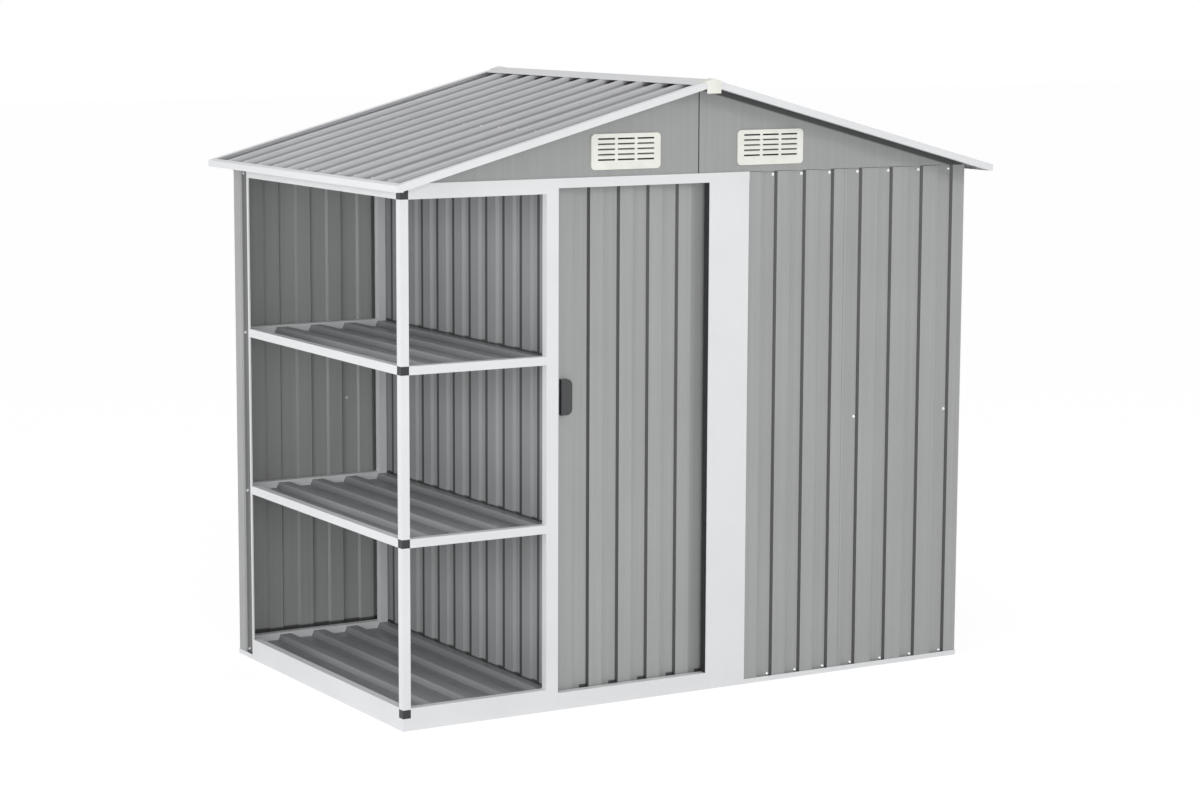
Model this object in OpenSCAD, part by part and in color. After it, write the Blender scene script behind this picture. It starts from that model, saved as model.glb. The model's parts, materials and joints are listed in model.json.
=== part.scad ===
// Metal garden shed with an open side rack, a sliding door and a 15 degree gable roof.
// Millimetres. +X runs to the right along the front, +Y to the rear, +Z up.
// The origin lies under the middle of the roof, at ground level.

/* [Overall] */
// Width of the base frame along the front
base_w = 1954; // [1854:2:2154]
// Depth of the base frame from front to rear
base_d = 1140; // [1040:2:1300]
// Height of the wall frame, where the gables begin
wall_h = 1550; // [1500:1:1650]
// Pitch of the roof in degrees
roof_pitch = 15; // [13:0.5:20]
// Overhang of the roof past the side walls
eave_over = 48; // [40:1:80]
// Overhang of the roof past the front and rear walls
verge_over = 77; // [70:1:110]

/* [Sheet metal] */
// Thickness of the ribbed and flat sheets
sheet_t = 1; // [0.6:0.1:1.2]
// Thickness of the folded rails and trims
rail_t = 1.5; // [1:0.1:1.8]
// Depth of the grooves pressed into a wall sheet
groove_d = 9; // [8:0.5:13]
// Width of a wall groove at its mouth
groove_mouth = 56; // [48:1:60]
// Width of a wall groove at its floor
groove_floor = 45; // [38:1:50]
// Flat lip of a sheet past the rib it shares with its neighbour
lap_lip = 8; // [4:1:12]
// Gap between two sheets that lap
lap_gap = 0.2; // [0.1:0.05:0.4]
// Gap between pieces that are pushed together
fit = 0.2; // [0.1:0.05:0.4]

/* [Base] */
// Height of the outer lip under the walls
lip_h = 15; // [10:1:25]
// Gap between the base's outer face and the wall sheets
wall_in = 2; // [1.9:0.1:4]
// Height of the inner web that the walls are fixed to
web_h = 45; // [35:1:60]
// Width of the flange on top of that web
web_flange = 20; // [12:1:30]
// Height of the apron round the rack
apron_h = 65; // [55:1:80]
// Height of the door's threshold
threshold_h = 51; // [48:1:60]
// Depth of the floor of the front rail, which carries the door guide
guide_floor = 60; // [60:1:75]
// Height of the guide fin under the door
fin_h = 32; // [28:1:38]

/* [Rack] */
// Width of the square rack tubes
tube = 25; // [20:1:30]
// Wall of the square tubes
tube_t = 1.2; // [0.8:0.1:1.8]
// Height of the lowest corner connectors
level_0 = 36.5; // [30:0.5:40]
// Distance from the top of the rack to the top of the wall frame
rack_drop = 18.5; // [12:0.5:30]
// Length of the connector spigots inside the tubes
spigot = 18; // [10:1:24]
// Slack of a spigot inside its tube on each side
spigot_slack = 0.4; // [0.2:0.1:0.8]
// Width of the ledge that carries a shelf
ledge = 15; // [10:1:22]
// Height of the ribs on a shelf
shelf_rib = 17; // [10:1:19]
// Width of a shelf rib at its foot
shelf_foot = 50; // [44:1:60]
// Width of a shelf rib at its top
shelf_top = 36; // [24:1:42]
// Distance between the shelf ribs
shelf_pitch = 116; // [100:1:118]
// Width of the land of the rear left corner, before its groove
corner_land = 46; // [40:1:60]
// Width of the white edge post on that corner
edge_post = 9; // [8:1:14]
// Distance of the rear rails and of the divider's post from the rear face
rear_rail_in = 38; // [37.5:0.5:50]

/* [Doorway] */
// Left edge of the door jamb, from the left face
jamb_x = 466; // [420:1:520]
// Width of the door jamb
jamb_w = 39; // [36:1:50]
// Width of the doorway
door_open = 510; // [460:1:530]
// Width of the plain panel right of the doorway
jamb_panel_w = 139; // [100:1:170]
// Depth of the folds along both edges of the doorway
jamb_fold = 25; // [20:1:25]

/* [Door] */
// Overlap of the closed door behind the plain panel
door_lap = 56; // [40:1:80]
// Gap between the doorway's left edge and the door
door_edge_gap = 6; // [5:0.5:8]
// Distance from the base's front face to the door's face
door_in = 31; // [30.5:0.5:34]
// Running clearance round the moving door
run_gap = 5; // [5:0.5:7]
// Height of the door's lower edge
door_bottom = 20; // [18:1:24]
// Gap between the door's top and the top of the wall frame
door_top_gap = 15; // [12:1:18]
// Height of the white beam over the doorway
beam_h = 28; // [24:1:31]
// Depth of the door track below the top of the wall frame
track_drop = 32; // [30:1:40]
// Radius of the door rollers
roller_r = 10; // [8:0.5:11]
// Width of the door rollers
roller_w = 9; // [7:0.5:10]
// Radius of the roller axles
axle_r = 3; // [2:0.25:3]
// Gap between a roller and its track at rest
roller_gap = 0.3; // [0.2:0.05:0.5]
// Width of the cup handle
handle_w = 36; // [30:1:40]
// Height of the cup handle
handle_h = 105; // [90:1:140]
// Distance the handle stands out from the door
handle_proud = 14; // [12:1:16]
// Height of the handle's middle
handle_z = 917; // [800:1:1000]

/* [Gables] */
// Width of a vent
vent_w = 232; // [200:1:260]
// Height of a vent
vent_h = 103; // [90:1:110]
// Distance of a vent's middle from the ridge line
vent_x = 250; // [200:1:280]
// Gap between the wall frame and a vent
vent_lift = 20; // [14:1:26]
// Rows of louvre slots in a vent
vent_rows = 5; // [3:1:5]
// Columns of louvre slots in a vent
vent_cols = 3; // [2:1:3]

/* [Roof] */
// Number of ribs across one slope
roof_ribs = 11; // [9:1:11]
// Height of the roof ribs
roof_rib = 10; // [8:1:16]
// Width of a roof rib at its foot
roof_foot = 46; // [40:1:52]
// Width of a roof rib at its top
roof_crest = 30; // [22:1:34]
// Height of the eave fascia
fascia_h = 19; // [16:1:30]
// Thickness of the white roof trims
trim_t = 1.2; // [0.8:0.1:1.5]
// Width of each flank of the ridge cap
ridge_w = 58; // [50:1:80]
// Thickness of the plastic end caps on the ridge
cap_t = 2; // [1.5:0.1:3]

/* [Hidden] */
$fn = 48;

grey = "#a2a3a3";
shade_grey = "#85878a";
white = "#e7e8ea";
cream = "#eae9e0";
black = "#3b3c3e";

left = -base_w / 2;
right = base_w / 2;
front = -base_d / 2;
rear = base_d / 2;

// A lapped sheet lies one sheet further in than its neighbour
lap_step = sheet_t + lap_gap;
// Inner face of the groove floors, where the sheets meet the frame
wall_depth = lap_step + groove_d + sheet_t;
groove_in = wall_in + wall_depth;
web_in = groove_in + rail_t;
flange_in = web_in + web_flange;
sheet_top = wall_h - rail_t - fit;
wall_flat = wall_in + lap_step + sheet_t;

// Plan of the front, measured from the left face
doorway_x = jamb_x + jamb_w;
doorway_end = doorway_x + door_open;
front_wall_x = doorway_end + jamb_panel_w;
front_wall_w = base_w - wall_in - front_wall_x - fit;
// Outer flats and inner face of the divider, which is screwed to the jamb's return
divider_in_x = doorway_x - rail_t - fit;
divider_x = divider_in_x - wall_depth;

// Rack levels
level_step = (wall_h - rack_drop - tube - level_0) / 3;
levels = [for (i = [0:3]) level_0 + i * level_step];
top_level = levels[3];
floor_level = apron_h - tube;
rear_rail_y = rear - rear_rail_in - tube;
rear_post_in = corner_land + groove_mouth;
rear_post_y = rear - rear_post_in - edge_post;
// Where the rails begin beside the front post, and the side ledges behind the front ledge
tube_start = tube + fit;
ledge_start = front + tube_start + ledge;
// Inner face of the groove in the folded rear left corner
corner_face = wall_in + groove_d + sheet_t;

// Depths of the door and of its track
door_back = door_in + groove_d + sheet_t;
hanger_in = door_back + rail_t;
track_in = hanger_in + run_gap;
roller_in = track_in + rail_t + run_gap;
track_out = roller_in + roller_w + run_gap + rail_t;
track_z = wall_h - track_drop;
track_lip = 2;
fascia_z = wall_h - beam_h;
roller_z = track_z + rail_t + roller_gap + roller_r;
door_top = wall_h - door_top_gap;
door_x = doorway_x + door_edge_gap;
door_w = door_open - door_edge_gap + door_lap;
door_guide_w = 2 * run_gap + 3 * rail_t;

// Roof planes: height above the sheets' underside is measured square to the slope
slope_len = (right + eave_over) / cos(roof_pitch);
eave_z = wall_h - eave_over * tan(roof_pitch);
ridge_z = wall_h + right * tan(roof_pitch);
crest_n = roof_rib + sheet_t + lap_step;
trim_n = crest_n + fit + trim_t;
eave_trim_z = eave_z + trim_n / cos(roof_pitch);
verge_y = -front + verge_over;
// Widths of the trims' lips over the sheets and of the closed block at the eave's ends
verge_lip = 22;
eave_lip = 18;
eave_block = 20;
ridge_cap_z = ridge_z + trim_n / cos(roof_pitch);
cap_z = ridge_z + (trim_n + fit + cap_t) / cos(roof_pitch);
cap_proud = 3;
// Inset of the gable sheets from the side faces and the depth of their bottom flange
gable_end = 8;
gable_flange = 18;

// Height of the roof's underside at a distance from the outer wall face
function under_roof(d) = wall_h + d * tan(roof_pitch);
// The same, less the fit, for what carries the roof
function seat(d) = under_roof(d) - fit;

// Evenly spaced values from a to b
function spread(a, b, n) = [for (i = [0:n - 1]) a + (b - a) * i / (n - 1)];

function unit(v) = v / norm(v);
function left_of(v) = [-v[1], v[0]];
function edge_normal(path, i) = left_of(unit(path[i + 1] - path[i]));
function mitre(path, i) =
    i == 0 ? edge_normal(path, 0)
    : i == len(path) - 1 ? edge_normal(path, i - 1)
    : let (a = edge_normal(path, i - 1), b = edge_normal(path, i)) (a + b) / (1 + a * b);

// Outline of a folded strip: the path is its outer face, with the metal on the left of it
function strip(path, t) =
    concat(path, [for (i = [len(path) - 1:-1:0]) path[i] + t * mitre(path, i)]);

// Face line of a ribbed sheet from s0 to s1, pushed in by depth at each centre
function ribbed(s0, s1, centres, mouth, floor_w, depth) = concat(
    [[s0, 0]],
    [for (c = centres) each [
        [c - mouth / 2, 0], [c - floor_w / 2, depth], [c + floor_w / 2, depth], [c + mouth / 2, 0]
    ]],
    [[s1, 0]]
);

// Outline of a sheet: its face line and the same line moved by the thickness, so that laps nest
function sheet(path) = concat(path, [for (i = [len(path) - 1:-1:0]) path[i] + [0, sheet_t]]);

// Rib centres of one sheet, from the lap before it to the lap after it
function share(centres, laps, j) = [
    for (i = [(j == 0 ? 0 : laps[j - 1]):(j == len(laps) ? len(centres) - 1 : laps[j])]) centres[i]
];

// Outline of one lapped sheet; every second one lies a sheet further in
module lapped_outline(s0, s1, centres, laps, j, mouth, floor_w, depth, step) {
    mine = share(centres, laps, j);
    reach = mouth / 2 + lap_lip;
    a = j == 0 ? s0 : mine[0] - reach;
    b = j == len(laps) ? s1 : mine[len(mine) - 1] + reach;
    translate([0, step])
        polygon(sheet(ribbed(a, b, mine, mouth, floor_w, depth)));
}

// A wall of lapped sheets standing on the base, running along X with its face towards -Y
module wall_sheets(run, centres, laps) {
    for (j = [0:len(laps)])
        translate([0, 0, rail_t])
            linear_extrude(sheet_top - rail_t)
                lapped_outline(
                    0, run, centres, laps, j, groove_mouth, groove_floor, groove_d,
                    j % 2 == 0 ? lap_step : 0
                );
}

// A profile of depth from the front face and height, run along X
module run_x(x0, x1) {
    translate([left + x0, front, 0])
        rotate([90, 0, 90])
            linear_extrude(x1 - x0)
                children();
}

// A profile of depth from the left face and height, run along Y
module run_y(y0, y1) {
    translate([left, y1, 0])
        rotate([90, 0, 0])
            linear_extrude(y1 - y0)
                children();
}

// The left slope's own frame: X up the slope from the eave edge, Z square to it
module on_slope() {
    translate([left - eave_over, 0, eave_z])
        rotate([0, -roof_pitch, 0])
            children();
}

module at_right() { mirror([1, 0, 0]) children(); }

module at_rear() { mirror([0, 1, 0]) children(); }

module both_sides() {
    children();
    at_right() children();
}

module both_ends() {
    children();
    at_rear() children();
}

module rounded_rect(w, h, r) {
    square([w - 2 * r, h], center = true);
    square([w, h - 2 * r], center = true);
    for (x = [-1, 1], y = [-1, 1])
        translate([x * (w / 2 - r), y * (h / 2 - r)])
            circle(r);
}

// Section of a square tube
module tube_section() {
    difference() {
        square(tube);
        translate([tube_t, tube_t])
            square(tube - 2 * tube_t);
    }
}

// Section of the ledge at the foot of a rail, on its inner side
module ledge_section() {
    translate([tube, 0])
        square([ledge, rail_t]);
}

// Section of a shelf rail: a square tube with its ledge
module shelf_rail_section() {
    tube_section();
    ledge_section();
}

// Section of the base rail that the walls stand in
module wall_rail_section() {
    polygon(strip(
        [[0, lip_h], [0, 0], [web_in, 0], [web_in, web_h], [flange_in, web_h]], rail_t
    ));
}

// Section of the aprons: foot, plate, top and inner fold
module apron_section() {
    polygon(strip([[tube, floor_level], [tube, apron_h], [0, apron_h], [0, 0], [tube, 0]], rail_t));
}

// The ledge of the rack floor, at the foot of an apron's inner fold
module apron_ledge() {
    translate([0, floor_level])
        ledge_section();
}

module guide_fin() {
    translate([track_in, 0])
        square([rail_t, fin_h]);
}

module rack_front_apron() {
    color(white)
        run_x(tube, doorway_x) {
            apron_section();
            apron_ledge();
        }
}

module rack_left_apron() {
    color(white) {
        run_y(front + tube, rear_post_y)
            apron_section();
        run_y(ledge_start, rear_post_y)
            apron_ledge();
        run_y(rear - rear_post_in, rear)
            polygon(strip([[0, lip_h], [0, 0], [web_in, 0]], rail_t));
        run_y(rear - rail_t, rear)
            square([web_in, lip_h]);
    }
}

module door_threshold() {
    color(white)
        run_x(doorway_x, doorway_end) {
            polygon(strip(
                [[door_in - run_gap, threshold_h], [0, threshold_h], [0, 0], [guide_floor, 0]], rail_t
            ));
            guide_fin();
        }
}

module front_base_rail() {
    end = base_w - web_in - fit;
    color(white) {
        run_x(doorway_end, end) {
            polygon(strip([[0, lip_h], [0, 0], [guide_floor, 0]], rail_t));
            guide_fin();
        }
        run_x(doorway_end + rail_t + fit, end)
            translate([groove_in, 0])
                square([rail_t, web_h]);
    }
}

module right_base_rail() {
    color(white)
        at_right() {
            run_y(front, rear)
                polygon(strip([[0, lip_h], [0, 0], [web_in, 0]], rail_t));
            run_y(front + web_in + fit, rear - flange_in - fit)
                wall_rail_section();
            both_ends()
                run_y(front, front + rail_t)
                    square([web_in, lip_h]);
        }
}

module rear_base_rail() {
    color(white)
        at_rear()
            run_x(web_in + fit, base_w - web_in - fit)
                wall_rail_section();
}

module divider_base_rail() {
    color(white)
        run_y(ledge_start, rear - flange_in - fit)
            polygon(strip(
                [[divider_x, 0], [divider_in_x + rail_t, 0], [divider_in_x + rail_t, web_h]], rail_t
            ));
}

// Tubes of a post between the connectors, from the ground to the top level
module post_tubes() {
    ends = concat([[0, levels[0]]], [for (i = [0:2]) [levels[i] + tube, levels[i + 1]]]);
    for (e = ends)
        translate([0, 0, e[0]])
            linear_extrude(e[1] - e[0])
                tube_section();
}

module rack_front_post() {
    color(white)
        translate([left, front, 0])
            post_tubes();
}

// A slim channel pushed over the front edge of the rear left corner
module rack_rear_post() {
    outer = wall_in - fit - rail_t;
    inner = wall_in + sheet_t + fit + rail_t;
    path = [
        [inner, rear_post_in + sheet_t], [inner, rear_post_in + edge_post], [outer, rear_post_in + edge_post],
        [outer, rear_post_in]
    ];
    color(white)
        translate([left, rear, 0])
            mirror([0, 1, 0])
                linear_extrude(top_level + tube)
                    polygon(strip(path, rail_t));
}

module rack_divider_post() {
    color(white)
        translate([left + divider_x - tube, rear_rail_y, 0])
            linear_extrude(top_level + tube)
                tube_section();
}

// A corner block with a spigot along each of the given directions
module connector(directions) {
    plug = tube - 2 * tube_t - 2 * spigot_slack;
    translate([tube / 2, tube / 2, tube / 2]) {
        cube(tube, center = true);
        for (d = directions)
            translate(d * (tube + spigot) / 2)
                cube([for (a = d) a == 0 ? plug : spigot], center = true);
    }
}

module rack_connectors() {
    up = [0, 0, 1];
    color(black)
        for (i = [0:3]) {
            posts = i == 3 ? [-up] : [up, -up];
            translate([left, front, levels[i]])
                connector(i == 0 ? posts : concat(posts, [[0, 1, 0], [1, 0, 0]]));
        }
}

// The rear rail of a rack level, from the rear left corner to the divider's post
module rear_rail(z) {
    translate([0, 0, z])
        at_rear()
            translate([0, rear_rail_in, 0])
                run_x(corner_face, divider_x - tube)
                    children();
}

// The angle on the divider that carries the shelf's edge rib
module divider_ledge(z) {
    top = z + rail_t + shelf_rib;
    run_y(ledge_start, rear_rail_y)
        polygon(strip([[divider_x, top - tube], [divider_x, top], [divider_x - tube, top]], rail_t));
}

// Front and left tubes between the posts
module open_tubes() {
    run_x(tube_start, jamb_x)
        tube_section();
    run_y(front + tube_start, rear_post_y)
        tube_section();
}

module rack_floor_rails() {
    color(white) {
        rear_rail(floor_level)
            shelf_rail_section();
        divider_ledge(floor_level);
    }
}

module shelf_rails(z) {
    color(white) {
        translate([0, 0, z]) {
            open_tubes();
            run_x(tube_start, jamb_x)
                ledge_section();
            run_y(ledge_start, rear_post_y)
                ledge_section();
        }
        rear_rail(z)
            shelf_rail_section();
        divider_ledge(z);
    }
}

module lower_shelf_rails() { shelf_rails(levels[1]); }

module upper_shelf_rails() { shelf_rails(levels[2]); }

module rack_top_rails() {
    color(white) {
        translate([0, 0, top_level])
            open_tubes();
        rear_rail(top_level)
            tube_section();
    }
}

// A ribbed shelf lying on the ledges, its last rib cut by the divider
module shelf_panel(z) {
    y0 = front + tube + fit;
    y1 = rear_rail_y - fit;
    x0 = tube + fit;
    x1 = divider_x - fit;
    ribs = floor((x1 - x0) / shelf_pitch);
    cut = 6;
    last = x1 - shelf_top / 2 + cut;
    centres = [for (i = [0:ribs - 1]) last - shelf_pitch * (ribs - 1 - i)];
    color(shade_grey)
        translate([0, 0, z + rail_t])
            run_y(y0, y1)
                intersection() {
                    polygon(sheet(ribbed(x0, x1 + shelf_foot, centres, shelf_foot, shelf_top, shelf_rib)));
                    translate([x0, 0])
                        square([x1 - x0, shelf_rib + sheet_t]);
                }
}

module rack_floor_panel() { shelf_panel(floor_level); }

module lower_shelf_panel() { shelf_panel(levels[1]); }

module upper_shelf_panel() { shelf_panel(levels[2]); }

module divider_wall() {
    y1 = rear - flange_in - fit;
    run = y1 - ledge_start;
    rear_margin = 48;
    front_margin = 77;
    color(grey)
        translate([left + divider_x, y1, 0])
            rotate([0, 0, -90])
                wall_sheets(run, spread(rear_margin, run - front_margin, 10), [3, 6]);
}

module rear_wall() {
    run = base_w - wall_in - gable_end;
    right_margin = 123;
    left_margin = 117;
    color(grey)
        translate([right - wall_in, rear - wall_in, 0])
            rotate([0, 0, 180])
                wall_sheets(run, spread(right_margin, run - left_margin, 17), [3, 6, 10, 13]);
}

module right_wall() {
    start = wall_flat + fit;
    run = base_d - 2 * start;
    margin = 64;
    color(grey)
        translate([right - wall_in, front + start, 0])
            rotate([0, 0, 90])
                wall_sheets(run, spread(margin, run - margin, 10), [3, 6]);
}

// The front wall's two sheets share the rib at the lap
module front_wall() {
    first = 75;
    lap = 383;
    margin = 72;
    last = front_wall_w - margin;
    sheet_a = spread(first, lap, 4);
    sheet_b = spread(lap, last, 4);
    color(grey)
        translate([left + front_wall_x + fit, front + wall_in, 0])
            wall_sheets(front_wall_w, concat(sheet_a, [for (i = [1:3]) sheet_b[i]]), [3]);
}

// The rear wall's left end, folded round the corner with a groove up to the slim post over its edge
module rear_left_corner() {
    flank = (groove_mouth - groove_floor) / 2;
    leg = 60;
    inner = wall_in + groove_d;
    path = [
        [wall_in, rear_post_in + edge_post - rail_t - fit], [wall_in, rear_post_in],
        [inner, rear_post_in - flank], [inner, corner_land + flank], [wall_in, corner_land],
        [wall_in, wall_in], [wall_in + leg, wall_in]
    ];
    color(grey)
        translate([left, rear, rail_t])
            mirror([0, 1, 0])
                linear_extrude(sheet_top - rail_t)
                    polygon(strip(path, sheet_t));
}

module right_corner_posts() {
    leg = 30;
    path = [[wall_flat + leg, wall_flat], [wall_flat, wall_flat], [wall_flat, wall_flat + leg]];
    color(grey)
        at_right()
            both_ends()
                translate([left, front, rail_t])
                    linear_extrude(sheet_top - rail_t)
                        polygon(strip(path, -sheet_t));
}

module door_jamb() {
    path = [[0, jamb_fold], [0, 0], [jamb_w, 0], [jamb_w, track_in - fit]];
    color(white)
        translate([left + jamb_x, front, apron_h])
            linear_extrude(sheet_top - apron_h)
                polygon(strip(path, rail_t));
}

module jamb_panel() {
    path = [[0, jamb_fold], [0, 0], [jamb_panel_w, 0], [jamb_panel_w, groove_in - fit]];
    color(white)
        translate([left + doorway_end, front, lip_h])
            linear_extrude(sheet_top - lip_h)
                polygon(strip(path, rail_t));
}

// Face line of the door track, from its upstand over the roller space
track_path = [
    [track_in, track_z + rail_t + track_lip], [track_in, track_z], [track_out, track_z], [track_out, wall_h]
];

// The beam's flange and fascia run on over the rack; the track ends at the doorway
module front_beam() {
    fold = [[-rail_t, wall_h], [-rail_t, fascia_z]];
    color(white) {
        run_x(tube, doorway_x)
            polygon(strip(concat([[track_out, wall_h]], fold), rail_t));
        run_x(doorway_x, front_wall_x)
            polygon(strip(concat(track_path, fold), rail_t));
    }
}

module front_top_rail() {
    fold = [[groove_in, wall_h], [groove_in, wall_h - web_h]];
    color(white)
        run_x(front_wall_x, base_w - web_in - fit)
            polygon(strip(concat(track_path, fold), rail_t));
}

// A flange and fascia over the rear wall, stiffened by a lip between the side walls
module rear_beam() {
    path = [[flange_in, wall_h], [-rail_t, wall_h], [-rail_t, fascia_z]];
    color(white)
        at_rear() {
            run_x(0, base_w)
                polygon(strip(path, rail_t));
            run_x(web_in + fit, base_w - web_in - fit)
                translate([flange_in - rail_t, wall_h - lip_h])
                    square([rail_t, lip_h]);
        }
}

module divider_top_rail() {
    in_x = divider_in_x + rail_t;
    path = [[in_x, wall_h - web_h], [in_x, wall_h], [divider_x, wall_h]];
    color(white)
        run_y(front + track_out + fit, rear - flange_in - fit)
            polygon(strip(path, rail_t));
}

// Rails under the eaves with a top that follows the slope
module eave_rails() {
    gable_clear = wall_in + gable_flange + fit;
    foot = top_level + tube;
    inset = 2;
    back = tube - inset;
    left_path = [[inset, foot], [back, foot], [back, seat(back)], [inset, seat(inset)]];
    right_path = [[web_in, wall_h - web_h], [web_in, seat(web_in)], [wall_in, seat(wall_in)]];
    color(white) {
        run_y(front + gable_clear, rear_post_y)
            polygon(strip(left_path, rail_t));
        at_right()
            run_y(front + gable_clear, rear - flange_in - fit)
                polygon(strip(right_path, rail_t));
    }
}

// The middle of a vent, measured from the ridge line and the ground
vent_z = wall_h + vent_lift + vent_h / 2;
// The body goes through the gable; the bezel is wider by a rim all round
vent_rim = 5;
vent_body_w = vent_w - 2 * vent_rim;
vent_body_h = vent_h - 2 * vent_rim;

// The two halves of a gable: flat sheets with a bottom flange and a vent hole each
module front_gable() {
    seam = fit / 2;
    outline = [
        [left + gable_end, wall_h], [-seam, wall_h], [-seam, ridge_z - fit],
        [left + gable_end, seat(gable_end)]
    ];
    color(grey)
        both_sides() {
            translate([0, front + wall_in + sheet_t, 0])
                rotate([90, 0, 0])
                    linear_extrude(sheet_t)
                        difference() {
                            polygon(outline);
                            translate([-vent_x, vent_z])
                                square([vent_body_w + 2 * fit, vent_body_h + 2 * fit], center = true);
                        }
            translate([left + tube + fit, front + wall_in, wall_h])
                cube([-left - tube - fit - seam, gable_flange, sheet_t]);
        }
}

module rear_gable() { at_rear() front_gable(); }

// A louvre vent: a rounded bezel, a body through the gable and slots that rise inwards
module vent() {
    bezel = 5;
    body = 12;
    slot_w = 57;
    slot_h = 5;
    slot_gap = 9;
    row_step = 15;
    top_row = 15;
    rise = 6;
    deep = bezel + body;
    cut = [[0, 0], [deep, rise], [deep, rise + slot_h], [0, slot_h]];
    difference() {
        union() {
            rotate([90, 0, 0])
                linear_extrude(bezel)
                    rounded_rect(vent_w, vent_h, 12);
            translate([-vent_body_w / 2, 0, -vent_body_h / 2])
                cube([vent_body_w, body, vent_body_h]);
        }
        for (r = [0:vent_rows - 1], c = [0:vent_cols - 1])
            translate([
                (c - (vent_cols - 1) / 2) * (slot_w + slot_gap) - slot_w / 2,
                -bezel,
                vent_h / 2 - top_row - slot_h / 2 - r * row_step
            ])
                rotate([90, 0, 90])
                    linear_extrude(slot_w)
                        polygon(cut);
    }
}

module front_vents() {
    color(cream)
        for (side = [-1, 1])
            translate([side * vent_x, front + wall_in, vent_z])
                vent();
}

module rear_vents() { at_rear() front_vents(); }

// Three lapped sheets of one slope, their ribs running from the eave to the ridge
module left_roof_sheets() {
    edge = verge_y - trim_t - 2 * fit;
    margin = 102;
    start = 6.5;
    ridge_gap = 4;
    centres = spread(margin - edge, edge - margin, roof_ribs);
    laps = [2, 6];
    color(grey)
        on_slope()
            for (j = [0:len(laps)])
                translate([start, 0, 0])
                    rotate([90, 0, 90])
                        linear_extrude(slope_len - start - ridge_gap)
                            lapped_outline(
                                -edge, edge, centres, laps, j, roof_foot, roof_crest, roof_rib,
                                j % 2 == 0 ? 0 : lap_step
                            );
}

module right_roof_sheets() { at_right() left_roof_sheets(); }

// Fascias with an upright face, a lip over the sheets and a closed block at each end
module eave_trims() {
    rise = tan(roof_pitch);
    top = eave_trim_z;
    foot = top - fascia_h;
    toe = 15;
    path = [[eave_lip, top + eave_lip * rise], [0, top], [0, foot], [toe, foot]];
    block = [[0, foot], [eave_block, foot], [eave_block, top + eave_block * rise], [0, top]];
    color(white)
        both_sides()
            translate([-eave_over, 0, 0]) {
                run_y(-verge_y, verge_y)
                    polygon(strip(path, trim_t));
                both_ends()
                    run_y(-verge_y, -verge_y + trim_t)
                        polygon(block);
            }
}

// Trims along the sloping edges, cut upright at the eave blocks and at the ridge
module verge_trims() {
    drop = 7;
    toe = 12;
    past = 10;
    path = [
        [verge_lip - verge_y, trim_n], [-verge_y, trim_n], [-verge_y, -drop], [toe - verge_y, -drop]
    ];
    reach = right + eave_over - eave_block - 2 * fit;
    color(white)
        both_sides()
            both_ends()
                intersection() {
                    on_slope()
                        rotate([90, 0, 90])
                            linear_extrude(slope_len + past)
                                polygon(strip(path, trim_t));
                    translate([-reach - fit, -verge_y, 0])
                        cube([reach, verge_lip, cap_z]);
                }
}

// Half section of an inverted V of the given width, height at the ridge and thickness
module ridge_fold(w, top, t) {
    rise = tan(roof_pitch);
    polygon(strip([[w, top - w * rise], [0, top], [-w, top - w * rise]], t));
}

module ridge_cap() {
    w = ridge_w * cos(roof_pitch);
    y = verge_y - verge_lip - fit;
    color(white)
        translate([0, y, 0])
            rotate([90, 0, 0])
                linear_extrude(2 * y)
                    ridge_fold(w, ridge_cap_z, trim_t);
}

// Plastic caps over the ridge ends: a folded top and a face with a drop tab
module ridge_end_caps() {
    w = 29;
    tab = 23.5;
    tab_drop = 43;
    side = 7;
    rise = tan(roof_pitch);
    y = verge_y + cap_proud;
    depth = 32;
    face = [
        [-w, cap_z - w * rise], [-w, cap_z - w * rise - side], [-tab, cap_z - w * rise - side],
        [-tab, cap_z - tab_drop], [tab, cap_z - tab_drop], [tab, cap_z - w * rise - side],
        [w, cap_z - w * rise - side], [w, cap_z - w * rise], [0, cap_z]
    ];
    color(cream)
        both_ends() {
            translate([0, depth - y, 0])
                rotate([90, 0, 0])
                    linear_extrude(depth)
                        ridge_fold(w, cap_z, cap_t);
            translate([0, cap_proud - fit - y, 0])
                rotate([90, 0, 0])
                    linear_extrude(cap_proud - fit)
                        polygon(face);
        }
}

// Inverted channel under the ridge, between the gables
module ridge_beam() {
    half = 12;
    leg = 30;
    y = -front - wall_in - sheet_t - fit;
    top = ridge_z - half * tan(roof_pitch);
    path = [[half, top - leg], [half, top], [-half, top], [-half, top - leg]];
    color(white)
        translate([0, y, 0])
            rotate([90, 0, 0])
                linear_extrude(2 * y)
                    polygon(strip(path, rail_t));
}

// One channel under the middle of each slope, between the gables
module roof_purlins() {
    flange = 22;
    web = 28;
    y = -front - wall_in - sheet_t - fit;
    middle = slope_len / 2;
    path = [[middle, -web], [middle + flange, -web], [middle + flange, 0], [middle, 0]];
    color(white)
        both_sides()
            on_slope()
                translate([0, y, 0])
                    rotate([90, 0, 0])
                        linear_extrude(2 * y)
                            polygon(strip(path, rail_t));
}

module door_panel() {
    first = 88;
    last = door_w - 71;
    color(grey)
        translate([left + door_x, front + door_in, door_bottom])
            linear_extrude(door_top - door_bottom)
                polygon(sheet(ribbed(
                    0, door_w, spread(first, last, 5), groove_mouth, groove_floor, groove_d
                )));
}

// The hanger along the door's top and the guide channel along its foot
module door_rails() {
    hang_top = door_top + 6;
    hang_foot = door_top - 60;
    hang_toe = door_back + 14;
    guide_top = door_bottom + 25;
    hanger = [[door_back, hang_top], [door_back, hang_foot], [hang_toe, hang_foot]];
    guide = [
        [door_back + door_guide_w, door_bottom], [door_back + door_guide_w, guide_top],
        [door_back, guide_top], [door_back, door_bottom]
    ];
    color(white)
        run_x(door_x, door_x + door_w) {
            polygon(strip(hanger, rail_t));
            polygon(strip(guide, rail_t));
        }
}

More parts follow.
